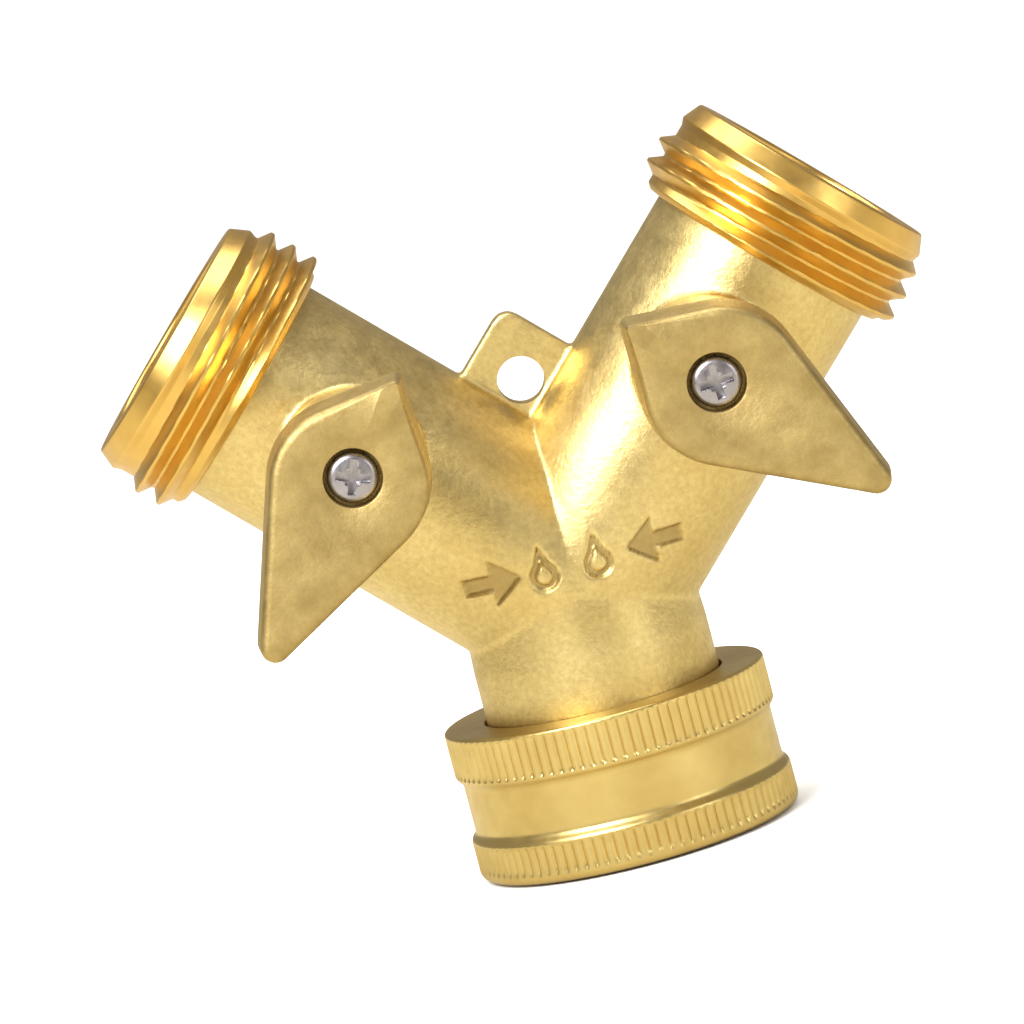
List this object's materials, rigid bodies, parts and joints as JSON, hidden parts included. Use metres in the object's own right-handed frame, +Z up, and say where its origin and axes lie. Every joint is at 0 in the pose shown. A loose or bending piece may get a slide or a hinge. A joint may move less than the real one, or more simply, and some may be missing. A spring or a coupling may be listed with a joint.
{
  "type": "hose splitter",
  "caption": "Y-shaped brass garden hose splitter: a swivel nut feeds threaded outlets, each with a quarter-turn lever ball valve.",
  "frame": {"origin": "centre of the coupling nut's lower end face, on the inlet axis, where the tap's spout enters", "axes": "+Z up the inlet axis towards the fork, +X towards the right-hand outlet, -Y towards the levers"},
  "size_m": [0.0782, 0.0407, 0.0646],
  "materials": {
    "cast_brass": "matte, bead-blasted",
    "machined_brass": "satin, turned",
    "lever_brass": "matte, as cast",
    "inner_brass": "turned",
    "plated_ball": "polished",
    "zinc_steel": "zinc plated",
    "spring_steel": "bright drawn",
    "black_rubber": "matte",
    "white_ptfe": "waxy"
  },
  "bodies": {
    "casting": {"valve_body": "cast_brass", "swivel_snap_ring": "spring_steel", "left_outer_seat": "white_ptfe", "left_inner_seat": "white_ptfe", "left_seat_retainer": "inner_brass", "right_outer_seat": "white_ptfe", "right_inner_seat": "white_ptfe", "right_seat_retainer": "inner_brass"},
    "nut": {"coupling_nut": "machined_brass", "inlet_washer": "black_rubber"},
    "left_valve": {"left_lever": "lever_brass", "left_lever_screw": "zinc_steel", "left_stem": "inner_brass", "left_ball": "plated_ball", "left_thrust_washer": "white_ptfe", "left_stem_o_ring_inner": "black_rubber", "left_stem_o_ring_outer": "black_rubber"},
    "right_valve": {"right_lever": "lever_brass", "right_lever_screw": "zinc_steel", "right_stem": "inner_brass", "right_ball": "plated_ball", "right_thrust_washer": "white_ptfe", "right_stem_o_ring_inner": "black_rubber", "right_stem_o_ring_outer": "black_rubber"}
  },
  "joints": [
    {"name": "nut_swivel", "type": "hinge", "parent": "casting", "child": "nut", "pos_m": [0, 0, 0.0071], "axis": [0, 0, 1], "continuous": true},
    {"name": "left_valve_turn", "type": "hinge", "parent": "casting", "child": "left_valve", "pos_m": [-0.01669, 0, 0.04219], "axis": [0, -1, 0], "range_deg": [-6, 84]},
    {"name": "right_valve_turn", "type": "hinge", "parent": "casting", "child": "right_valve", "pos_m": [0.01669, 0, 0.04219], "axis": [0, -1, 0], "range_deg": [-89, 1]}
  ]
}
